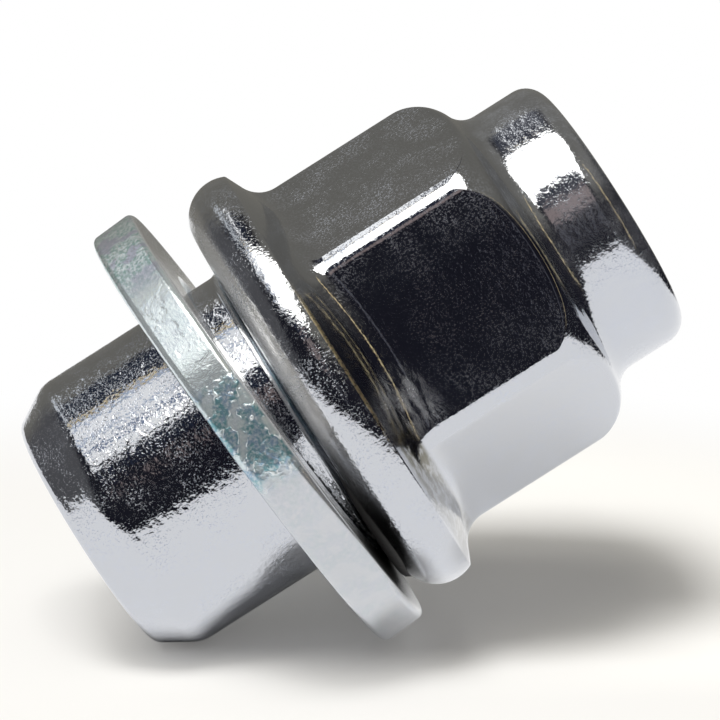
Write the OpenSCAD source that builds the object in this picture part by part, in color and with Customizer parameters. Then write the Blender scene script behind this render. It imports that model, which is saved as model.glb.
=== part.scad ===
// Wheel nut with a plain shank, a round flange, a hexagon and a closed cap, and a loose washer.
// The nut stands on the end of its shank: the thread's axis is Z and the cap is at the top.

/* [Thread] */
// Major diameter of the tapped hole
thread_d = 12; // [10:0.5:13]
// Depth of the tapped hole from the shank end
thread_depth = 28; // [20:0.5:30]
// Chamfer at the mouth of the hole
mouth_chamfer = 0.6; // [0.2:0.1:0.8]
// Full angle of the drill point at the bottom of the hole
drill_angle = 118; // [100:1:140]

/* [Shank] */
// Diameter of the shank that fills the wheel's hole
shank_d = 18.6; // [17.8:0.1:20]
// Length of the shank below the flange
shank_l = 15.3; // [13:0.1:20]
// Radial depth of the lead-in taper at the shank end
lead_w = 1.5; // [0.8:0.1:1.6]
// Length of the lead-in taper
lead_l = 2.5; // [1.5:0.1:4]
// Rounding between the shank and the taper
lead_top_r = 2.2; // [0.5:0.1:3]
// Rounding between the taper and the end face
lead_end_r = 0.8; // [0.3:0.1:1]
// Fillet between the shank and the flange
neck_r = 0.6; // [0.2:0.1:0.8]

/* [Flange] */
// Diameter of the flange
flange_d = 28.7; // [27:0.1:32]
// Radius of the flange's round rim
rim_r = 2.5; // [1.5:0.1:3]
// Angle past its widest point at which the rim ends in an edge
rim_turn = 26; // [10:1:40]
// Rounding of that edge
rim_edge_r = 0.25; // [0.1:0.05:0.4]
// Slope of the flange's upper face
flange_slope = 25; // [15:1:35]
// Fillet between the flange's upper face and the hexagon
root_r = 1.9; // [0.5:0.1:2.5]

/* [Hexagon] */
// Width across the flats
hex_af = 21; // [19:0.5:23]
// Rounding of the hexagon's corners
hex_corner_r = 1.5; // [0.3:0.1:2]
// Height of the hexagon's shoulder above the flange's underside
hex_l = 17.35; // [14:0.05:22]
// Radius of the shoulder turned on the hexagon's upper end
shoulder_r = 3.2; // [1.5:0.1:3.6]

/* [Cap] */
// Diameter of the closed cap
cap_d = 18.1; // [17:0.1:19]
// Length of the cap above the shoulder
cap_l = 5.4; // [4:0.1:8]
// Rounding of the cap's end
cap_edge_r = 1.5; // [0.3:0.1:2]
// Fillet at the root of the cap
cap_root_r = 1.5; // [0.3:0.1:2]

/* [Washer] */
// Outer diameter of the washer
washer_d = 30.5; // [29:0.1:34]
// Thickness of the washer
washer_t = 3; // [2.4:0.1:4]
// Rounding of the washer's rim
washer_edge_r = 0.45; // [0.1:0.05:1]
// Radial play of the washer's land on the shank
washer_play = 0.2; // [0.15:0.05:0.3]
// Length of the land that guides the washer
land_l = 0.6; // [0.3:0.1:0.8]
// Radial width of the bevel on the flange side of the bore
bevel_w = 0.9; // [0.7:0.1:1.2]
// Depth of the bevel on the flange side of the bore
bevel_l = 0.8; // [0.7:0.1:1]
// Radial width of the recess on the wheel side of the bore
recess_w = 0.8; // [0.6:0.1:1.2]
// Smallest gap between the tilted washer and the flange
washer_gap = 0.6; // [0.1:0.05:1.5]
// Tilt of the loose washer on the shank
washer_tilt = 3.9; // [0:0.1:4]
// Side towards which the tilted washer rises
washer_turn = 10; // [0:5:355]

/* [Retaining bead] */
// Height of the bead that is rolled up on the shank to keep the washer on
bead_h = 0.4; // [0.3:0.05:0.5]
// Gap between the bead and the washer's land
bead_gap = 0.05; // [0.05:0.05:0.3]

/* [Hidden] */
$fn = 96;

// Angle between neighbouring points on a rounded corner
arc_step = 10;
// Overlap that lets one form run into the next
sink = 1;
// Facets across the root fillet, and along each corner and flat of the hexagon
root_steps = 5;
// Depth by which a root fillet's edges bite into the faces that it joins
root_bite = 0.02;

shank_r = shank_d / 2;
thread_r = thread_d / 2;
drill_tip_l = thread_r / tan(drill_angle / 2);

flange_r = flange_d / 2;
flange_flat_r = flange_r - rim_r;
rim_centre_z = shank_l + rim_r;
rim_end_r = flange_flat_r + rim_r * cos(rim_turn);
rim_end_z = rim_centre_z + rim_r * sin(rim_turn);
rim_steps = ceil((90 + rim_turn) / arc_step);

hex_sharp_r = hex_af / 2 / cos(30);
hex_reach_r = hex_sharp_r - hex_corner_r * (1 / cos(30) - 1);
shoulder_z = shank_l + hex_l;
shoulder_arc_r = hex_reach_r - shoulder_r;
shoulder_arc_z = shoulder_z - shoulder_r;

cap_r = cap_d / 2;
overall_l = shoulder_z + cap_l;

washer_r = washer_d / 2;
land_r = shank_r + washer_play;
land_top = washer_t / 2 - bevel_l;
land_low = land_top - land_l;
washer_rise = min(flange_flat_r, washer_r) * sin(washer_tilt);
washer_z = shank_l - washer_gap - washer_rise - washer_t / 2 * cos(washer_tilt);

bead_z = washer_z + land_low * cos(washer_tilt) - land_r * sin(washer_tilt) - bead_gap - bead_h;

// The x and y of a corner that is written as [x, y, radius]
function place(corner) = [corner[0], corner[1]];

// A vector turned by an angle
function turned(v, angle) = [
    v[0] * cos(angle) - v[1] * sin(angle),
    v[0] * sin(angle) + v[1] * cos(angle)
];

// Points of the arc that rounds corner b on the way from a to c
function rounded_corner(a, b, c, radius) =
    let (
        back = (a - b) / norm(a - b),
        ahead = (c - b) / norm(c - b),
        half = acos(back * ahead) / 2,
        centre = b + (back + ahead) / norm(back + ahead) * radius / sin(half),
        start = b + back * radius / tan(half) - centre,
        bend = 180 - 2 * half,
        side = sign(cross(b - a, c - b)),
        steps = ceil(bend / arc_step)
    )
    [for (i = [0:steps]) centre + turned(start, side * bend * i / steps)];

// Closed outline through [x, y, radius] corners, each rounded to its own radius
function rounded_outline(corners) =
    let (count = len(corners))
    [
        for (i = [0:count - 1])
            let (
                a = place(corners[(i + count - 1) % count]),
                b = place(corners[i]),
                c = place(corners[(i + 1) % count])
            )
            each corners[i][2] > 0 ? rounded_corner(a, b, c, corners[i][2]) : [b]
    ];

// Height of the flange's upper face at a distance from the axis
function flange_height(r) = rim_end_z + (rim_end_r - r) * tan(flange_slope);

// Shank and flange, turned about the axis from one outline
module shank_and_flange() {
    cone_in_r = cap_r - sink;
    cone_in_z = flange_height(cone_in_r);
    rotate_extrude()
        polygon(rounded_outline([
            [0, 0, 0],
            [shank_r - lead_w, 0, lead_end_r],
            [shank_r, lead_l, lead_top_r],
            [shank_r, shank_l, neck_r],
            for (i = [0:rim_steps - 1])
                let (turn = (90 + rim_turn) * i / rim_steps - 90)
                [flange_flat_r + rim_r * cos(turn), rim_centre_z + rim_r * sin(turn), 0],
            [rim_end_r, rim_end_z, rim_edge_r],
            [cone_in_r, cone_in_z, 0],
            [0, cone_in_z, 0]
        ]));
}

// Low bead rolled up on the shank
module retaining_bead() {
    rotate_extrude()
        translate([shank_r, bead_z])
            circle(r = bead_h);
}

// Turned envelope that rounds the hexagon's upper end
module shoulder_envelope() {
    rotate_extrude() {
        square([shoulder_arc_r, shoulder_z]);
        square([hex_reach_r + sink, shoulder_arc_z]);
        translate([shoulder_arc_r, shoulder_arc_z])
            intersection() {
                circle(r = shoulder_r);
                square(shoulder_r);
            }
    }
}

// Hexagon with rounded corners, from inside the flange up to its shoulder
module hexagon() {
    base_z = shank_l + sink;
    intersection() {
        translate([0, 0, base_z])
            linear_extrude(shoulder_z - base_z)
                polygon(rounded_outline([
                    for (i = [0:5])
                        [hex_sharp_r * cos(60 * i), hex_sharp_r * sin(60 * i), hex_corner_r]
                ]));
        shoulder_envelope();
    }
}

// Points round the hexagon's outline, each with the direction that its wall faces
function hexagon_walk() =
    let (corner_reach = hex_sharp_r - hex_corner_r / cos(30))
    [
        for (i = [0:5])
            let (
                centre = corner_reach * turned([1, 0], 60 * i),
                next = corner_reach * turned([1, 0], 60 * i + 60)
            )
            each [
                for (k = [0:root_steps])
                    let (out = turned([1, 0], 60 * i - 30 + 60 * k / root_steps))
                    [centre + hex_corner_r * out, out],
                for (k = [1:root_steps - 1])
                    let (out = turned([1, 0], 60 * i + 30))
                    [centre + (next - centre) * k / root_steps + hex_corner_r * out, out]
            ]
    ];

// One line of the root fillet, from the flange's face up to the hexagon's wall
function root_line(wall, out) =
    let (
        centre = wall + root_r * out,
        away = centre / norm(centre),
        height = flange_height(norm(centre)) + root_r / cos(flange_slope),
        middle = [centre[0], centre[1], height],
        low = -[away[0] * sin(flange_slope), away[1] * sin(flange_slope), cos(flange_slope)],
        high = -[out[0], out[1], 0],
        bend = acos(low * high)
    )
    [
        for (k = [0:root_steps])
            middle + (root_r + root_bite)
                * (low * sin(bend * (1 - k / root_steps)) + high * sin(bend * k / root_steps)) / sin(bend)
    ];

// Fillet round the hexagon's root, closed inside the nut by a point on the axis below and above
module hexagon_root() {
    walk = hexagon_walk();
    count = len(walk);
    rows = root_steps + 1;
    skin = [for (step = walk) each root_line(step[0], step[1])];
    below = [0, 0, shank_l + sink];
    above = [0, 0, shoulder_arc_z];
    polyhedron(
        points = concat(skin, [below, above]),
        faces = [
            for (i = [0:count - 1])
                let (here = i * rows, next = (i + 1) % count * rows)
                each [
                    [count * rows, here, next],
                    [count * rows + 1, next + rows - 1, here + rows - 1],
                    for (k = [0:rows - 2]) each [
                        [here + k, here + k + 1, next + k + 1],
                        [here + k, next + k + 1, next + k]
                    ]
                ]
        ]
    );
}

// Closed cap with a rounded end and a root fillet that runs out on the shoulder's arc
module cap() {
    reach = shoulder_r + cap_root_r;
    root_turn = acos((cap_r + cap_root_r - shoulder_arc_r) / reach);
    root_z = shoulder_arc_z + reach * sin(root_turn) - root_bite;
    steps = ceil(root_turn / arc_step);
    rotate_extrude()
        polygon(rounded_outline([
            [0, shoulder_arc_z, 0],
            [shoulder_arc_r, shoulder_arc_z, 0],
            for (i = [steps:-1:0])
                let (turn = 180 + root_turn * i / steps)
                [cap_r + cap_root_r + cap_root_r * cos(turn), root_z + cap_root_r * sin(turn), 0],
            [cap_r, overall_l, cap_edge_r],
            [0, overall_l, 0]
        ]));
}

// Blind tapped hole with its chamfered mouth and drill point, as the space to cut
module tapped_hole() {
    mouth_r = thread_r + mouth_chamfer;
    translate([0, 0, -sink])
        cylinder(r = thread_r, h = thread_depth + sink);
    translate([0, 0, thread_depth])
        cylinder(r1 = thread_r, r2 = 0, h = drill_tip_l);
    translate([0, 0, -sink])
        cylinder(r1 = mouth_r + sink, r2 = thread_r, h = mouth_chamfer + sink);
}

// The nut itself: one forging, plated all over
module nut_body() {
    color([0.80, 0.81, 0.83])
        difference() {
            union() {
                shank_and_flange();
                retaining_bead();
                hexagon();
                hexagon_root();
                cap();
            }
            tapped_hole();
        }
}

// Loose flat washer, resting at a tilt on the shank
module washer() {
    half_t = washer_t / 2;
    color([0.68, 0.73, 0.75])
        translate([0, 0, washer_z])
            rotate([0, 0, washer_turn])
                rotate([0, -washer_tilt, 0])
                    rotate_extrude()
                        polygon(rounded_outline([
                            [land_r + recess_w, -half_t, 0],
                            [washer_r, -half_t, washer_edge_r],
                            [washer_r, half_t, washer_edge_r],
                            [land_r + bevel_w, half_t, 0],
                            [land_r, land_top, 0],
                            [land_r, land_low, 0],
                            [land_r + recess_w, land_low, 0]
                        ]));
}

nut_body();
washer();
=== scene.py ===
import math

import bpy
import numpy as np
from mathutils import Matrix, Vector


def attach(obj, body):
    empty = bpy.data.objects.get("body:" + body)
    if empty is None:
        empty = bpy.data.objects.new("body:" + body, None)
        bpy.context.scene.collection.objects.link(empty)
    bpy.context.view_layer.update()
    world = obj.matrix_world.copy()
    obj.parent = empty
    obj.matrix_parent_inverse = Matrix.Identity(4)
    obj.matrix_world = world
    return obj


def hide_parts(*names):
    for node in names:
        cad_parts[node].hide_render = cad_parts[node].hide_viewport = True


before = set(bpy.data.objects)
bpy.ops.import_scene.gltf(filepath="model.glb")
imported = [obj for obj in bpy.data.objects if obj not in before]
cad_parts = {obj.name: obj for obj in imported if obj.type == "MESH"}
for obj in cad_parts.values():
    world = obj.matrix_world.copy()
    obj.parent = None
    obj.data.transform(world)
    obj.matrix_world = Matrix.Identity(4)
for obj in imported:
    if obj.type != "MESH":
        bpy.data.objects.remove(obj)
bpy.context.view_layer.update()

# Nut body
# One steel forging: a plain shank, a round flange, a hexagon and a closed cap, tapped from the shank end.
# The hexagon runs into the flange by a rolled fillet, its upper end is turned to a round shoulder,
# and bright chrome plate covers the outside and thins out inside the hole.
MM = 0.001
SHANK_R, SHANK_L, NECK_R = 9.3, 15.3, 0.6
LEAD_W, LEAD_L, LEAD_TOP_R, LEAD_END_R = 1.5, 2.5, 2.2, 0.8
BEAD_Z, BEAD_H = 11.401, 0.4
FLANGE_R, RIM_R, RIM_EDGE_R = 14.35, 2.5, 0.25
RIM_TURN, SLOPE = math.radians(26), math.radians(25)
ROOT_R = 1.9
HEX_AF, HEX_CORNER_R, HEX_L = 21.0, 1.5, 17.35
SHOULDER_R, SHOULDER_EDGE_R = 3.2, 0.55
CAP_R, CAP_L, CAP_EDGE_R, CAP_ROOT_R = 9.05, 5.4, 1.5, 1.5
HOLE_R, HOLE_DEPTH, MOUTH_CHAMFER, DRILL_ANGLE = 6.0, 28.0, 0.6, math.radians(118)
shoulder_z = SHANK_L + HEX_L
cap_end_z = shoulder_z + CAP_L
drill_tip_z = HOLE_DEPTH + HOLE_R / math.tan(DRILL_ANGLE / 2)

# Degrees between the points of an arc, its fewest steps, the longest straight step,
# and the distance of the points that hold an arc's ends
ARC_STEP, FEWEST_STEPS, LONGEST_STEP, HOLD = 8, 4, 1.6, 0.04


def swung(start, end, bend, share):
    """The arm at a share of the turn from start to end, which stand at the angle bend to each other."""
    return (start * np.sin(bend * (1 - share)) + end * np.sin(bend * share)) / np.sin(bend)


def turned_line(corners):
    """Points (r, z) along a turned outline of (r, z, radius) corners, with the ends of each arc held."""
    spots = [Vector((r, z)) for r, z, _ in corners]
    runs = [[spots[0]]]
    for before, spot, after, (_, _, radius) in zip(spots, spots[1:], spots[2:], corners[1:]):
        if radius == 0:
            runs.append([spot])
            continue
        back, ahead = (before - spot).normalized(), (after - spot).normalized()
        half = back.angle(ahead) / 2
        centre = spot + (back + ahead).normalized() * radius / math.sin(half)
        start = spot + back * radius / math.tan(half) - centre
        end = spot + ahead * radius / math.tan(half) - centre
        bend = start.angle(end)
        steps = max(FEWEST_STEPS, math.ceil(math.degrees(bend) / ARC_STEP))
        runs.append([centre + swung(start, end, bend, k / steps) for k in range(steps + 1)])
    runs.append([spots[-1]])
    line = []
    for run, following in zip(runs, runs[1:]):
        line += run
        gap = following[0] - run[-1]
        if gap.length > 4 * HOLD:
            pieces = math.ceil(gap.length / LONGEST_STEP)
            shares = [HOLD / gap.length, *(k / pieces for k in range(1, pieces)), 1 - HOLD / gap.length]
            line += [run[-1] + gap * share for share in shares]
    return [tuple(p) for p in line + runs[-1]]


def arms(degrees):
    """Unit arms from the axis at those angles."""
    turn = np.radians(degrees)
    return np.column_stack([np.cos(turn), np.sin(turn)])


# The hexagon's outline, the way that its wall faces, and the middle of the ball that rolls its root fillet
CORNER_STEPS, FLAT_STEPS = 16, 18
hex_sharp_r = HEX_AF / 2 / math.cos(math.radians(30))
corner_reach = hex_sharp_r - HEX_CORNER_R / math.cos(math.radians(30))
hex_reach_r = corner_reach + HEX_CORNER_R
wall, out = [], []
for corner in range(0, 360, 60):
    centre, following = corner_reach * arms([corner, corner + 60])
    facing = arms(corner - 30 + 60 * np.arange(CORNER_STEPS + 1) / CORNER_STEPS)
    share = (np.arange(1, FLAT_STEPS) / FLAT_STEPS)[:, None]
    wall += [centre + HEX_CORNER_R * facing]
    wall += [centre + (following - centre) * share + HEX_CORNER_R * facing[-1]]
    out += [facing, np.repeat(facing[-1:], FLAT_STEPS - 1, axis=0)]
wall, out = np.vstack(wall), np.vstack(out)
reach = np.linalg.norm(wall, axis=1)
ball = wall + ROOT_R * out
ball_r = np.linalg.norm(ball, axis=1)

# Columns of points run through the hexagon's outline above the fillet and through the ball's middles below it
above, below = wall / reach[:, None], ball / ball_r[:, None]


def ring(ways, r, z):
    """One row of points round the axis, at a radius and a height that may differ from column to column."""
    r, z = np.broadcast_to(r, len(ways)), np.broadcast_to(z, len(ways))
    return np.column_stack([ways * r[:, None], z])


def bowed(first, pull, last, t):
    """The place at t on a curve that leaves first towards pull and comes from pull into last."""
    return first * (1 - t) ** 2 + pull * 2 * t * (1 - t) + last * t ** 2


# Rows on each stretch from the cap down to the rim, the radii of the rows beside the two closing points,
# and how far along the flange's sloping face its rows lie
CAP_ROOT_ROWS, SHOULDER_ROWS, SHOULDER_EDGE_ROWS, WALL_ROWS = 9, 12, 8, 9
ROOT_ROWS, RIM_EDGE_ROWS, RIM_ROWS = 11, 7, 25
FIRST_R, LAST_R = 0.8, 0.3
CONE_SHARES = 0.04, 0.35, 0.65, 0.96

# The cap's end, its side and the fillet at its root
rows = [ring(above, r, z) for r, z in turned_line([
    (FIRST_R, cap_end_z, 0),
    (CAP_R, cap_end_z, CAP_EDGE_R),
    (CAP_R, shoulder_z + CAP_ROOT_R, 0),
])]
arc_r, arc_z = hex_reach_r - SHOULDER_R, shoulder_z - SHOULDER_R
cap_root_r = CAP_R + CAP_ROOT_R
cap_root_rise = math.acos((cap_root_r - arc_r) / (SHOULDER_R + CAP_ROOT_R))
cap_root_z = arc_z + (SHOULDER_R + CAP_ROOT_R) * math.sin(cap_root_rise)
rows = [row for row in rows if row[0, 2] > cap_root_z + HOLD]
for turn in np.linspace(math.pi, math.pi + cap_root_rise, CAP_ROOT_ROWS):
    r, z = cap_root_r + CAP_ROOT_R * math.cos(turn), cap_root_z + CAP_ROOT_R * math.sin(turn)
    rows.append(ring(above, r, z))

# The shoulder, with the softened edge where it meets the hexagon's wall
edge_turn = np.arccos(np.clip((reach - arc_r) / SHOULDER_R, -1, 1))
edge_l = np.maximum(HOLD, SHOULDER_EDGE_R * np.tan(edge_turn / 2))
soft_turn = edge_turn + edge_l / SHOULDER_R
for share in np.linspace(0, 1, SHOULDER_ROWS)[1:]:
    turn = cap_root_rise + (soft_turn - cap_root_rise) * share
    rows.append(ring(above, arc_r + SHOULDER_R * np.cos(turn), arc_z + SHOULDER_R * np.sin(turn)))
soft_r, soft_z = arc_r + SHOULDER_R * np.cos(soft_turn), arc_z + SHOULDER_R * np.sin(soft_turn)
bend_z = soft_z - (reach - soft_r) / np.tan(soft_turn)
wall_top = arc_z + SHOULDER_R * np.sin(edge_turn) - edge_l
for t in np.linspace(0, 1, SHOULDER_EDGE_ROWS)[1:]:
    rows.append(ring(above, bowed(soft_r, reach, reach, t), bowed(soft_z, bend_z, wall_top, t)))

# The wall of the hexagon and the fillet at its root
rim_r, rim_z = FLANGE_R - RIM_R, SHANK_L + RIM_R
rim_end_r, rim_end_z = rim_r + RIM_R * math.cos(RIM_TURN), rim_z + RIM_R * math.sin(RIM_TURN)
ball_z = rim_end_z + (rim_end_r - ball_r) * math.tan(SLOPE) + ROOT_R / math.cos(SLOPE)
for share in np.linspace(0, 1, WALL_ROWS):
    rows.append(np.column_stack([wall, (wall_top - HOLD) * (1 - share) + (ball_z + HOLD) * share]))
wall_way = np.column_stack([-out, np.zeros(len(out))])
cone_way = np.column_stack([-below * math.sin(SLOPE), np.full(len(out), -math.cos(SLOPE))])
bend = np.arccos(np.sum(wall_way * cone_way, axis=1))[:, None]
for share in np.linspace(0, 1, ROOT_ROWS):
    rows.append(np.column_stack([ball, ball_z]) + ROOT_R * swung(wall_way, cone_way, bend, share))

# The sloping face of the flange and its round rim
rim_edge_l = RIM_EDGE_R * math.tan((math.pi / 2 - RIM_TURN - SLOPE) / 2)
cone_in, cone_out = ball_r - ROOT_R * math.sin(SLOPE), rim_end_r - rim_edge_l * math.cos(SLOPE)
for share in CONE_SHARES:
    r = cone_in * (1 - share) + cone_out * share
    rows.append(ring(below, r, rim_end_z + (rim_end_r - r) * math.tan(SLOPE)))
rim_edge_turn = RIM_TURN - rim_edge_l / RIM_R
rim_edge = [
    Vector((cone_out, rim_end_z + rim_edge_l * math.sin(SLOPE))),
    Vector((rim_end_r, rim_end_z)),
    Vector((rim_r + RIM_R * math.cos(rim_edge_turn), rim_z + RIM_R * math.sin(rim_edge_turn))),
]
for t in np.linspace(0, 1, RIM_EDGE_ROWS)[:-1]:
    rows.append(ring(below, *bowed(*rim_edge, t)))
for turn in np.linspace(rim_edge_turn, -math.pi / 2, RIM_ROWS):
    rows.append(ring(below, rim_r + RIM_R * math.cos(turn), rim_z + RIM_R * math.sin(turn)))

# The underside of the flange, the shank with its bead and lead, and the hole up to the drill's tip
BEAD_ROUNDING = 0.999 * BEAD_H
underside = turned_line([
    (rim_r, SHANK_L, 0),
    (SHANK_R, SHANK_L, NECK_R),
    (SHANK_R, BEAD_Z + BEAD_H, 0),
    (SHANK_R + BEAD_H, BEAD_Z + BEAD_H, BEAD_ROUNDING),
    (SHANK_R + BEAD_H, BEAD_Z - BEAD_H, BEAD_ROUNDING),
    (SHANK_R, BEAD_Z - BEAD_H, 0),
    (SHANK_R, LEAD_L, LEAD_TOP_R),
    (SHANK_R - LEAD_W, 0, LEAD_END_R),
    (HOLE_R + MOUTH_CHAMFER, 0, 0),
    (HOLE_R, MOUTH_CHAMFER, 0),
    (HOLE_R, HOLE_DEPTH, 0),
    (LAST_R, drill_tip_z - LAST_R / math.tan(DRILL_ANGLE / 2), 0),
])
rows += [ring(below, r, z) for r, z in underside[1:]]


def put(name, data):
    """Sets an object with that mesh, camera or lamp in the scene."""
    thing = bpy.data.objects.new(name, data)
    bpy.context.scene.collection.objects.link(thing)
    return thing


def piece_of(name, points, faces):
    """A piece through points in millimetres."""
    mesh = bpy.data.meshes.new(name)
    mesh.from_pydata([tuple(p * MM) for p in points], [], faces)
    mesh.validate()
    return put(name, mesh)


def skin(name, rows, ends=()):
    """A smooth piece through rows of points round an axis, closed by a point at each end or into a ring."""
    count = len(rows[0])
    points = [*np.vstack(rows), *(np.array(end) for end in ends)]
    faces = []
    for i in range(len(rows) - (1 if ends else 0)):
        here, down = i * count, (i + 1) % len(rows) * count
        faces += [(here + j, down + j, down + (j + 1) % count, here + (j + 1) % count) for j in range(count)]
    if ends:
        last = (len(rows) - 1) * count
        faces += [(len(points) - 2, j, (j + 1) % count) for j in range(count)]
        faces += [(len(points) - 1, last + (j + 1) % count, last + j) for j in range(count)]
    piece = piece_of(name, points, faces)
    piece.data.polygons.foreach_set("use_smooth", [True] * len(piece.data.polygons))
    return piece


nut = skin("nut", rows, [(0, 0, cap_end_z), (0, 0, drill_tip_z)])


class Wire:
    """A socket of a shader, so that sums with it are written as plain sums and add their Math nodes."""

    def __init__(self, tree, socket=None):
        self.tree, self.socket = tree, socket

    def node(self, kind, settings=None, sockets=None, out=0):
        """Adds a node with its settings and then its sockets' values or links, and gives one output."""
        made = self.tree.nodes.new(kind)
        for name, value in (settings or {}).items():
            setattr(made, name, value)
        for name, value in (sockets or {}).items():
            if isinstance(value, Wire):
                self.tree.links.new(value.socket, made.inputs[name])
            else:
                made.inputs[name].default_value = value
        return Wire(self.tree, made.outputs[out] if len(made.outputs) else None)

    def sum(self, operation, first, second):
        return self.node("ShaderNodeMath", {"operation": operation}, {0: first, 1: second})

    def __add__(self, other):
        return self.sum("ADD", self, other)

    def __sub__(self, other):
        return self.sum("SUBTRACT", self, other)

    def __mul__(self, other):
        return self.sum("MULTIPLY", self, other)

    def __truediv__(self, other):
        return self.sum("DIVIDE", self, other)

    def __radd__(self, other):
        return self.sum("ADD", other, self)

    def __rsub__(self, other):
        return self.sum("SUBTRACT", other, self)

    def __rmul__(self, other):
        return self.sum("MULTIPLY", other, self)

    def __rtruediv__(self, other):
        return self.sum("DIVIDE", other, self)

    def ramp(self, low, high):
        """0 below low, 1 above high and a soft step between them."""
        return self.node(
            "ShaderNodeMapRange",
            {"interpolation_type": "SMOOTHSTEP"},
            {"Value": self, "From Min": low, "From Max": high, "To Min": 0, "To Max": 1},
        )

    def band(self, low, high, soft):
        """1 between low and high, with soft edges, and 0 outside."""
        return self.ramp(low - soft, low + soft) * (1 - self.ramp(high - soft, high + soft))

    def mix(self, first, second):
        """A colour from first where this is 0 to second where it is 1."""
        # A Mix node takes its two colours in sockets 6 and 7 and gives the mixed one at output 2
        return self.node("ShaderNodeMix", {"data_type": "RGBA"}, {0: self, 6: first, 7: second}, out=2)

    def measure(self, operation, other):
        """The number that a vector sum of this and another vector gives."""
        return self.node("ShaderNodeVectorMath", {"operation": operation}, {0: self, 1: other}, out="Value")

    def along(self, way):
        """How far this direction or place goes along a fixed way."""
        return self.measure("DOT_PRODUCT", tuple(way))

    def grain(self, size_mm, detail=2, rough=0.5, stretch=None):
        """Noise over the surface with features of about that size."""
        place = self
        if stretch:
            place = self.node("ShaderNodeMapping", None, {"Vector": self, "Scale": stretch})
        return self.node(
            "ShaderNodeTexNoise", None,
            {"Vector": place, "Scale": 1 / (size_mm * MM), "Detail": detail, "Roughness": rough},
        )


def blank_shader(shaded):
    """An empty shader for a material or a world, to add nodes to."""
    shaded.use_nodes = True
    shaded.node_tree.nodes.clear()
    return Wire(shaded.node_tree)


CHROME = (0.60, 0.615, 0.65, 1)
CHROME_HAZE = (0.62, 0.65, 0.73, 1)
CHROME_PAINTED_SHEEN = (0.94, 0.94, 0.95, 1)
CHROME_PAINTED_GLINT = (0.78, 0.66, 0.42, 1)
STEEL = (0.34, 0.33, 0.31, 1)
# Black stands in for shade: painted shade in the crevice under the flange, on the washer's face beside it and
# on the crescent in the gap
SHADE_BLACK = (0.03, 0.03, 0.03, 1)
DARK_OLIVE = (0.20, 0.19, 0.15, 1)
MICRON = 0.001 * MM
chrome = bpy.data.materials.new("chrome_plate")
shade = blank_shader(chrome)
place = shade.node("ShaderNodeTexCoord", out="Object")

# Zones of the nut, by millimetres up from the shank's end, out from the axis and across to one side
height, side = place.along((0, 0, 1 / MM)), place.along((1 / MM, 0, 0))
radius = shade.node("ShaderNodeVectorMath", {"operation": "MULTIPLY"}, {0: place, 1: (1 / MM, 1 / MM, 0)})
radius = shade.node("ShaderNodeVectorMath", {"operation": "LENGTH"}, {0: radius}, out="Value")
hole = 1 - radius.ramp(HOLE_R + 0.01, HOLE_R + 0.25)
hole = hole * (1 - height.ramp(drill_tip_z + 0.1, drill_tip_z + 0.6))
stem = 1 - height.ramp(SHANK_L - 1.3, SHANK_L)
rim = radius.ramp(rim_r + 0.1, rim_r + 0.85) * (1 - height.ramp(rim_end_z - 0.1, rim_end_z + 0.1))
crown = height.ramp(shoulder_z - 0.25, shoulder_z + 0.75)
inside_hex = 1 - radius.ramp(hex_reach_r + 0.2, hex_reach_r + 0.6)
hexagon = height.band(SHANK_L + 5, shoulder_z - 1.15, 1) * inside_hex
face = hexagon * (1 - 0.9 * side.band(-3, 3, 1.5))
# Painted light: the flange's underside beside the shank is a lighter, rougher plate on the side away from the
# paper
painted_sheen_under = height.band(SHANK_L - 0.2, SHANK_L + 1.1, 0.25) * radius.ramp(SHANK_R + 0.4, SHANK_R + 0.9)
painted_sheen_under = painted_sheen_under * (1 - side.ramp(1, 5))
# Painted shade: the flange's underside beside the shank is darkened towards black on the side that faces the
# paper
crevice_shade = height.band(SHANK_L - 0.1, SHANK_L + 0.9, 0.15) * radius.ramp(SHANK_R + 0.3, SHANK_R + 0.7)
crevice_shade = crevice_shade * side.ramp(2, 8)

# Texture of the plate, the haze and dust gathered on it, a darker streaked patch and a painted gold highlight
cloud = place.grain(2.2, 4, 0.6).ramp(0.38, 0.66)
wave = place.grain(0.5, 2, 0.5)
peel = place.grain(0.22, 2, 0.5)
speck = place.grain(0.13, 2, 0.6)
pits = speck.ramp(0.56, 0.7) * (0.25 + 0.75 * cloud)
dust = speck.ramp(0.44, 0.66)
haze = (face + 0.9 * (stem + rim)) * (0.2 + 0.8 * cloud) * dust
haze = haze + crown * (0.25 + 0.5 * cloud) * (0.45 + 0.55 * dust)
smear = place.grain(0.45, 4, 0.65, stretch=(0.3, 1, 1)).ramp(0.4, 0.62)
smear = smear * side.band(1.6, 5.3, 0.9) * height.band(SHANK_L + 4.5, SHANK_L + 6.9, 0.7) * inside_hex
# Painted highlight: a thin brass-tinted, rougher line on part of the edge between the rim and the slope
painted_gold_glint = height.band(rim_end_z - 0.12, rim_end_z + 0.08, 0.04) * radius.ramp(rim_end_r - 0.25, rim_end_r - 0.15)
painted_gold_glint = painted_gold_glint * speck.ramp(0.3, 0.5) * side.band(-5, 3.5, 1.5)
streak = place.grain(0.4, 3, 0.6, stretch=(0.5, 0.5, 1.6)).ramp(0.35, 0.6)
# A darker olive patch with streaks on the flange's slope, on the side that faces the paper
dark_streaks = height.band(rim_end_z + 0.15, rim_end_z + 1.4, 0.2) * side.ramp(3, 4.6)
dark_streaks = dark_streaks * (1 - 0.55 * side.ramp(6, 11)) * (0.45 + 0.5 * streak)

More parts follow.
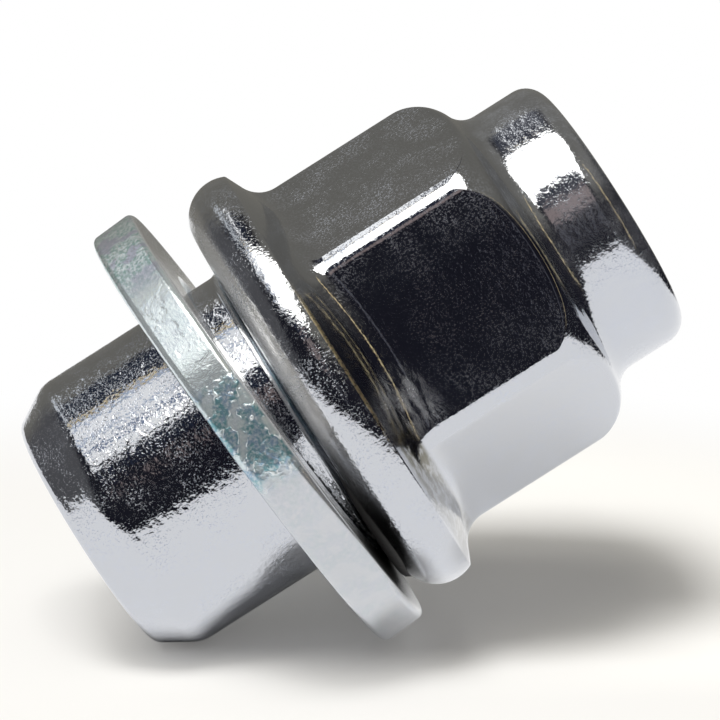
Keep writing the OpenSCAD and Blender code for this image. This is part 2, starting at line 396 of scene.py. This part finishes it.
plate = haze.mix(painted_sheen_under.mix(CHROME, CHROME_PAINTED_SHEEN), CHROME_HAZE)
plate = dark_streaks.mix(plate, DARK_OLIVE)
plate = painted_gold_glint.mix(plate, CHROME_PAINTED_GLINT)
plate = (0.9 * crevice_shade).mix(plate, SHADE_BLACK)
shade.node("ShaderNodeOutputMaterial", None, {"Surface": shade.node("ShaderNodeBsdfPrincipled", None, {
    "Base Color": hole.mix(plate, STEEL),
    "Metallic": 1 - (0.13 + 0.06 * crown) * haze - 0.2 * smear,
    "Roughness": 0.05 + 0.02 * cloud + 0.04 * (crown + rim) + 0.08 * pits + 0.25 * hole + 0.2 * smear
    + 0.35 * painted_gold_glint + 0.15 * dark_streaks + 0.15 * painted_sheen_under,
    "Normal": shade.node("ShaderNodeBump", None, {
        "Height": (8 + 20 * (stem + rim) + 12 * crown) * wave
        + (5 + 2 * stem + 13 * rim + 2 * crown) * peel
        - (3 + 5 * stem + 8 * rim + 2 * crown) * pits,
        "Distance": MICRON,
        "Strength": 1,
    }),
})})
nut.data.materials.append(chrome)
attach(nut, "nut")
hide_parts("nut_body")

# Thread
# The right-hand M12 x 1.5 thread that is tapped into the hole, standing on the hole's wall.
# Bare steel with only a trace of plate, cut by a tap, so its flanks carry fine marks along the turns.
PITCH, CREST_R, THREAD_TURNS, TURN_STEPS = 1.5, 5.19, 17, 60
FIRST_Z, RUN_OUT = 1.35, 0.6
RIDGE_W, CREST_W = 1.31, 0.36
SUNK, CREST_EDGE, THIN_END = 0.06, 0.04, 0.02
steps = np.arange(THREAD_TURNS * TURN_STEPS + 1) / TURN_STEPS
full = np.clip(np.minimum(steps, THREAD_TURNS - steps) / RUN_OUT, THIN_END, 1)
round_about = arms(360 * steps)
edges = []
for r, width in (
    (HOLE_R + SUNK, RIDGE_W + 0.05),
    (HOLE_R, RIDGE_W),
    (CREST_R + CREST_EDGE, CREST_W + 0.1),
    (CREST_R, CREST_W),
):
    deep = np.maximum(HOLE_R - r, 0) * full
    r_here = np.where(r < HOLE_R, HOLE_R - deep, r)
    half = width / 2 * (0.3 + 0.7 * full)
    edges.append(ring(round_about, r_here, FIRST_Z + PITCH * steps - half))
    edges.insert(0, ring(round_about, r_here, FIRST_Z + PITCH * steps + half))
sides = len(edges)
points = np.stack(edges, axis=1).reshape(-1, 3)
faces = [tuple(reversed(range(sides))), tuple(len(points) - sides + k for k in range(sides))]
for i in range(len(steps) - 1):
    here, onward = i * sides, (i + 1) * sides
    for k in range(sides):
        beside = (k + 1) % sides
        faces.append((here + k, here + beside, onward + beside, onward + k))
thread = piece_of("thread", points, faces)

STEEL_CUT = (0.45, 0.45, 0.45, 1)
tapped = bpy.data.materials.new("tapped_steel")
shade = blank_shader(tapped)
place = shade.node("ShaderNodeTexCoord", out="Object")
marks = place.grain(0.5, 3, 0.6, stretch=(1, 1, 12))
film = place.grain(1.2, 3, 0.6).ramp(0.4, 0.65)
shade.node("ShaderNodeOutputMaterial", None, {"Surface": shade.node("ShaderNodeBsdfPrincipled", None, {
    "Base Color": film.mix(STEEL, STEEL_CUT),
    "Metallic": 1,
    "Roughness": 0.28 + 0.14 * marks,
    "Normal": shade.node("ShaderNodeBump", None, {"Height": marks, "Distance": 4 * MICRON, "Strength": 1}),
})})
thread.data.materials.append(tapped)
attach(thread, "nut")

# Painted shade in the gap
# A dark crescent under the flange, where the washer comes closest to it; it is painted shade, put where the
# gap between the two lies in shade.
# It sticks to the flange, stays clear of the washer and closes the view through the gap between the two.
SHADE_IN_R, SHADE_OUT_R, SHADE_SPREAD = 9.95, 11.6, 1.0
SHADE_LOBES, LOBE_REACH = 8, 0.14
SHADE_ROOT, SHADE_DROP = 0.07, 0.39
WIDEN_FROM, WIDEN_OVER = 0.25, 0.45
ROUND_STEPS = 216
around = 360 * np.arange(ROUND_STEPS) / ROUND_STEPS
spokes = arms(around)
widening = np.clip((spokes[:, 0] - WIDEN_FROM) / WIDEN_OVER, 0, 1)
widening = widening * widening * (3 - 2 * widening)
lobes = LOBE_REACH * np.sin(SHADE_LOBES * np.radians(around))
shade_r = SHADE_OUT_R + (SHADE_SPREAD + lobes) * widening
shade_z = SHANK_L + SHADE_ROOT - SHADE_DROP * widening
gap_shade = skin("gap_shade", [ring(spokes, r, z) for r, z in (
    (SHADE_IN_R, SHANK_L + 0.08),
    (SHADE_IN_R + 0.1, shade_z + 0.1 * widening),
    (SHADE_IN_R + 0.35, shade_z),
    (shade_r - 0.3, shade_z),
    (shade_r, shade_z + 0.12 * widening),
    (shade_r + 0.45, SHANK_L + 0.15 + 0.4 * widening),
    (SHADE_OUT_R - 0.1, SHANK_L + 0.15),
)])
black = bpy.data.materials.new("gap_shade")
shade = blank_shader(black)
lumps = shade.node("ShaderNodeTexCoord", out="Object").grain(0.4, 3, 0.6)
shade.node("ShaderNodeOutputMaterial", None, {"Surface": shade.node("ShaderNodeBsdfPrincipled", None, {
    "Base Color": SHADE_BLACK,
    "Roughness": 0.55 + 0.3 * lumps,
    "Normal": shade.node("ShaderNodeBump", None, {"Height": lumps, "Distance": 30 * MICRON, "Strength": 1}),
})})
gap_shade.data.materials.append(black)
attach(gap_shade, "nut")

# Washer
# A loose flat ring, cut from steel bar and turned, with a bevel at the flange side of its bore and a recess
# below. It hangs tilted on the shank above the bead.
# Its blue passivated zinc shows patches of teal and green.
WASHER_R, WASHER_T, WASHER_EDGE_R = 15.25, 3.0, 0.45
WASHER_PLAY, LAND_L, BEVEL_W, BEVEL_L, RECESS_W = 0.2, 0.6, 0.9, 0.8, 0.8
WASHER_GAP, WASHER_TILT, WASHER_TURN = 0.6, math.radians(3.9), math.radians(10)
half_t = WASHER_T / 2
land_r, land_top = SHANK_R + WASHER_PLAY, half_t - BEVEL_L
land_low = land_top - LAND_L
section = turned_line([
    (land_r, land_top, 0),
    (land_r + BEVEL_W, half_t, 0),
    (WASHER_R, half_t, WASHER_EDGE_R),
    (WASHER_R, -half_t, WASHER_EDGE_R),
    (land_r + RECESS_W, -half_t, 0),
    (land_r + RECESS_W, land_low, 0),
    (land_r, land_low, 0),
    (land_r, land_top, 0),
])
washer = skin("washer_ring", [ring(spokes, r, z) for r, z in section[:-1]])
washer_z = SHANK_L - WASHER_GAP - rim_r * math.sin(WASHER_TILT) - half_t * math.cos(WASHER_TILT)
lean = Matrix.Translation((0, 0, washer_z * MM))
lean = lean @ Matrix.Rotation(WASHER_TURN, 4, "Z")
lean = lean @ Matrix.Rotation(-WASHER_TILT, 4, "Y")
washer.data.transform(lean)

ZINC = (0.79, 0.85, 0.87, 1)
ZINC_PAINTED_SHADE = (0.63, 0.64, 0.67, 1)
ZINC_PAINTED_LIGHT = (0.90, 0.91, 0.92, 1)
ZINC_TEAL = (0.14, 0.35, 0.40, 1)
ZINC_BLUE = (0.25, 0.38, 0.53, 1)
ZINC_GREEN = (0.33, 0.50, 0.47, 1)
ZINC_VIOLET = (0.52, 0.50, 0.63, 1)
zinc = bpy.data.materials.new("zinc_plate")
shade = blank_shader(zinc)
place = shade.node("ShaderNodeTexCoord", out="Object")
side = place.along((1 / MM, 0, 0))
rough_side = 1 - side.ramp(2, 3.5)
top = 1 - side.ramp(-12, -9.6)
middle = side.band(-3.4, 3, 0.8)
inner = (place.along(lean.to_3x3().col[2] / MM) - washer_z).ramp(half_t - 0.2, half_t - 0.05)
# Painted shade: the washer's face towards the flange turns black diffuse on the side that faces the paper,
# where it comes closest to the flange
crevice_shade = inner * side.band(8, 13.2, 2)
blot = place.grain(1.15, 2, 0.5)
fleck = place.grain(0.2, 3, 0.6)
ridge = blot.band(0.45, 0.475, 0.02) * place.grain(0.45, 2, 0.5).ramp(0.46, 0.6)
tone = place.grain(0.6, 2, 0.5).ramp(0.42, 0.6)
film = (0.3 + 0.7 * blot.ramp(0.38, 0.50)) * (0.4 + 0.6 * fleck.ramp(0.36, 0.58))
film = film * (0.12 + 0.8 * middle) * (1 - ridge)
# Painted shade: on the side that faces the paper the zinc is darker and greyer than elsewhere
colour = film.mix(side.ramp(2.2, 3.8).mix(ZINC, ZINC_PAINTED_SHADE), tone.mix(ZINC_TEAL, ZINC_BLUE))
colour = (top * fleck.ramp(0.42, 0.62)).mix(colour, ZINC_GREEN)
colour = (0.7 * top * blot.ramp(0.5, 0.58)).mix(colour, ZINC_VIOLET)
# Painted light: the face towards the flange and the ridges in the middle are near-white; on the ridges it is
# a painted highlight over a real relief
colour = (inner + 0.6 * middle * ridge).mix(colour, ZINC_PAINTED_LIGHT)
plate = shade.node("ShaderNodeBsdfPrincipled", None, {
    "Base Color": colour,
    "Metallic": 0.76 - 0.06 * middle - 0.3 * middle * ridge,
    "Roughness": 0.13 + 0.12 * fleck,
    "Normal": shade.node("ShaderNodeBump", None, {
        "Height": rough_side * ((7 + 26 * middle) * blot.ramp(0.40, 0.56) + (3 + 30 * middle) * ridge)
        + rough_side * (6 + 12 * top + 20 * middle) * fleck + 4 * fleck,
        "Distance": MICRON,
        "Strength": 1,
    }),
})
shade.node("ShaderNodeOutputMaterial", None, {"Surface": shade.node("ShaderNodeMixShader", None, {
    0: crevice_shade,
    1: plate,
    2: shade.node("ShaderNodeBsdfDiffuse", None, {"Color": SHADE_BLACK}),
})})
washer.data.materials.append(zinc)
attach(washer, "washer")
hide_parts("washer")

# Camera
# A long lens, held square to the nut's axis.
# The nut lies tipped in the picture, so the camera is turned about its own line of sight.
TIP = math.radians(32.34)
CAMERA_AT = Vector((-0.15, -203, 19.87)) * MM
SENSOR_W, FOCAL_L = 36, 165
CLIP_NEAR, CLIP_FAR = 0.01, 10
right = Vector((math.sin(TIP), 0, math.cos(TIP)))
up = Vector((-math.cos(TIP), 0, math.sin(TIP)))
back = Vector((0, -1, 0))


def aimed(right, up, back, at):
    """The stance of a camera or lamp at a place, from the ways of its right, its top and its back."""
    return Matrix.Translation(at) @ Matrix((right, up, back)).transposed().to_4x4()


lens = bpy.data.cameras.new("camera")
lens.sensor_width, lens.lens = SENSOR_W, FOCAL_L
lens.clip_start, lens.clip_end = CLIP_NEAR, CLIP_FAR
camera = put("camera", lens)
camera.matrix_world = aimed(right, up, back, CAMERA_AT)
bpy.context.scene.camera = camera

# Table
# A sheet of white paper on a table top; the nut lies on it, on the edge of its shank and on the washer's rim.
# The camera looks down on the sheet, which ends near the nut in a slanting edge that the chrome mirrors.
# The roll of the sheet about the line of sight is found by halving, until nut and washer both touch it.
LOOK_DOWN, MOST_ROLL, HALVINGS = math.radians(15), math.radians(8), 40
SHEET = ((-120, -140), (39, -80), (71, -33), (100, -10), (190, 20), (190, 350), (-120, 350))
PAPER = (0.9, 0.887, 0.86, 1)
WHITE = (1, 1, 1, 1)
NUT_MIDDLE = Vector((0, 0, 19)) * MM
spots = {}
for piece in (nut, washer):
    spots[piece] = np.empty(len(piece.data.vertices) * 3)
    piece.data.vertices.foreach_get("co", spots[piece])
low_roll, high_roll = -MOST_ROLL, MOST_ROLL
for _ in range(HALVINGS):
    roll = (low_roll + high_roll) / 2
    sheet_up = Matrix.Rotation(roll, 3, back) @ (up * math.cos(LOOK_DOWN) + back * math.sin(LOOK_DOWN))
    lowest = {piece: float((at.reshape(-1, 3) @ np.array(sheet_up)).min()) for piece, at in spots.items()}
    if lowest[nut] > lowest[washer]:
        high_roll = roll
    else:
        low_roll = roll
sheet_front = (back - back.dot(sheet_up) * sheet_up).normalized()
sheet_right = sheet_up.cross(sheet_front)
mesh = bpy.data.meshes.new("paper")
mesh.from_pydata([
    tuple(sheet_up * min(lowest.values()) + (sheet_front * ahead + sheet_right * aside) * MM)
    for ahead, aside in SHEET
], [], [tuple(range(len(SHEET)))])
paper = put("paper", mesh)

white = bpy.data.materials.new("white_paper")
shade = blank_shader(white)
place = shade.node("ShaderNodeTexCoord", out="Object")
seen, glossy, through = (
    shade.node("ShaderNodeLightPath", out=ray)
    for ray in ("Is Camera Ray", "Is Glossy Ray", "Is Transmission Ray")
)

# Millimetres across and before the nut set where its shadow lies and how dark the chrome mirrors it
across, before = place.along(sheet_right / MM), place.along(sheet_front / MM)
far = place.measure("DISTANCE", NUT_MIDDLE).ramp(36 * MM, 62 * MM)
shadow = across.ramp(-2, 7) * (1 - before.ramp(1, 11))
mirrored = 1 - across.band(2, 22, 2) * (1 - (before - 3 * across.ramp(12, 17)).ramp(2, 5.5))
mirrored = mirrored * (1 - 0.6 * across.band(27, 41, 4) * (1 - before.ramp(1, 6)))
bare = seen * (far + (1 - far) * (0.72 - 0.57 * shadow))
bare = bare + (glossy + through) * (mirrored + (1 - mirrored) * 0.4 * across.ramp(14, 24))
glow = (seen * (1 - far)).mix(WHITE, PAPER)
lit = shade.node("ShaderNodeMixShader", None, {
    0: bare,
    1: shade.node("ShaderNodeBsdfDiffuse", None, {"Color": PAPER}),
    2: shade.node("ShaderNodeEmission", None, {"Color": glow, "Strength": 1}),
})
shade.node("ShaderNodeOutputMaterial", None, {"Surface": shade.node("ShaderNodeMixShader", None, {
    0: shade.node("ShaderNodeNewGeometry", out="Backfacing"),
    1: lit,
    2: shade.node("ShaderNodeBsdfTransparent"),
})})
paper.data.materials.append(white)

# Light
# A broad soft box hangs over the table, a little towards the camera and to the left.
# A small lamp casts the shadow and isn't mirrored; it hangs just over the box, not in one plane with it.
# Places are sideways and forward shares of the height over the table, as the chrome shows them.
BOX_UP, LAMP_UP = 450 * MM, 451 * MM
WARM_LIGHT, PLAIN_LIGHT = (1, 0.98, 0.91), (1, 1, 1)


def hang(name, height, level, tint, aside, ahead):
    """A lamp of a level of brightness and a tint, between two sideways and two forward places."""
    box = bpy.data.lights.new(name, "AREA")
    box.shape = "RECTANGLE"
    box.size, box.size_y = height * (aside[1] - aside[0]), height * (ahead[1] - ahead[0])
    box.energy = level * math.pi * box.size * box.size_y
    box.color = tint
    lamp = put(name, box)
    out_there = sheet_up + sheet_front * sum(ahead) / 2 + sheet_right * sum(aside) / 2
    lamp.matrix_world = aimed(sheet_right, -sheet_front, sheet_up, NUT_MIDDLE + height * out_there)
    lamp.visible_camera = False
    return lamp


hang("soft_box", BOX_UP, 3.6, WARM_LIGHT, (-0.57, 0.12), (-0.04, 0.80))
key = hang("shadow_lamp", LAMP_UP, 27, PLAIN_LIGHT, (-0.38, -0.02), (0.18, 0.52))
key.visible_glossy = False

# Room
# What stands round the table shows only as a reflection in the plate.
# It is a dark room with a grey wall behind the nut, cloths towards the camera, a narrow window overhead,
# a row of panes with a brass edge up on the left, and a pale pane at the back.
DARK_ROOM = (0.012, 0.012, 0.018, 1)
GREY_WALL = (0.174, 0.168, 0.150, 1)
DIM_SIDE = (0.095, 0.095, 0.1, 1)
BLUE_CLOTH = (0.022, 0.027, 0.045, 1)
ROSE_CLOTH = (0.30, 0.24, 0.23, 1)
GREY_CLOTH = (0.080, 0.080, 0.095, 1)
BLUE_PANE = (0.05, 0.12, 0.28, 1)
BRASS = (0.95, 0.76, 0.42, 1)
PANE = (1.1, 1.1, 1.09, 1)
PALE_PANE = (0.42, 0.52, 0.68, 1)
BACK_PANE = (0.70, 0.73, 0.75, 1)
WINDOW = (1.5, 1.5, 1.47, 1)
room = bpy.data.worlds.new("room")
bpy.context.scene.world = room
shade = blank_shader(room)
way = shade.node("ShaderNodeTexCoord", out="Generated")
over = way.along(sheet_up)
aside, ahead = way.along(sheet_right) / over, way.along(sheet_front) / over
along_nut = way.along((0, 0, 1))
overhead = over.ramp(0.1, 0.15)


def toward(turn, rise=0):
    """The direction at a turn from the camera over the top of the nut, and at a rise along the nut."""
    turn, rise = math.radians(turn), math.radians(rise)
    return Vector((-math.sin(turn) * math.cos(rise), -math.cos(turn) * math.cos(rise), math.sin(rise)))


# The walls
air = way.along(toward(150)).ramp(0.69, 0.78).mix(DARK_ROOM, GREY_WALL)
air = (along_nut.ramp(0.3, 0.5) * way.along((-1, 0, 0)).ramp(0, 0.4)).mix(air, GREY_WALL)
air = (1 - way.along(right).ramp(-0.85, -0.6)).mix(air, DIM_SIDE)

# The cloths
air = way.along(toward(95)).ramp(0.95, 0.985).mix(air, BLUE_CLOTH)
air = way.along(toward(32, 5)).ramp(0.975, 0.996).mix(air, BLUE_CLOTH)
air = (along_nut.band(0.085, 0.16, 0.006) * way.along(toward(8, 6)).ramp(0.9, 0.97)).mix(air, GREY_CLOTH)
air = way.along(toward(17, 6)).ramp(0.985, 0.999).mix(air, ROSE_CLOTH)

# The window, the panes and a strip of brass beyond the cap
air = (way.along(toward(99)).ramp(0.955, 0.962) * along_nut.band(-0.004, 0.048, 0.005)).mix(air, WINDOW)
back_pane = along_nut.band(-0.18, -0.108, 0.008) * ahead.band(-1.6, -0.12, 0.04) * overhead
air = back_pane.mix(air, BACK_PANE)
panel = aside.band(-0.84, -0.57, 0.01) * overhead
for near_end, far_end, tint in (
    (-0.145, -0.09, BRASS),
    (-0.09, 0, PALE_PANE),
    (0, 0.28, PANE),
    (0.28, 0.34, PALE_PANE),
    (0.34, 0.51, PANE),
    (0.51, 0.59, BLUE_PANE),
    (0.59, 0.98, PANE),
):
    air = (panel * ahead.band(near_end, far_end, 0.012)).mix(air, tint)
slit = way.along(toward(180, 30)).band(-0.025, 0.025, 0.006) * way.along((1, 0, 0)).band(-0.5, 0.5, 0.05)
air = (slit * along_nut.ramp(0.4, 0.5)).mix(air, BRASS)
shade.node("ShaderNodeOutputWorld", None, {"Surface": shade.node("ShaderNodeMixShader", None, {
    0: shade.node("ShaderNodeLightPath", out="Is Camera Ray"),
    1: shade.node("ShaderNodeBackground", None, {"Color": air, "Strength": 1}),
    2: shade.node("ShaderNodeBackground", None, {"Color": WHITE, "Strength": 1}),
})})

bpy.context.scene.view_settings.view_transform = "Standard"
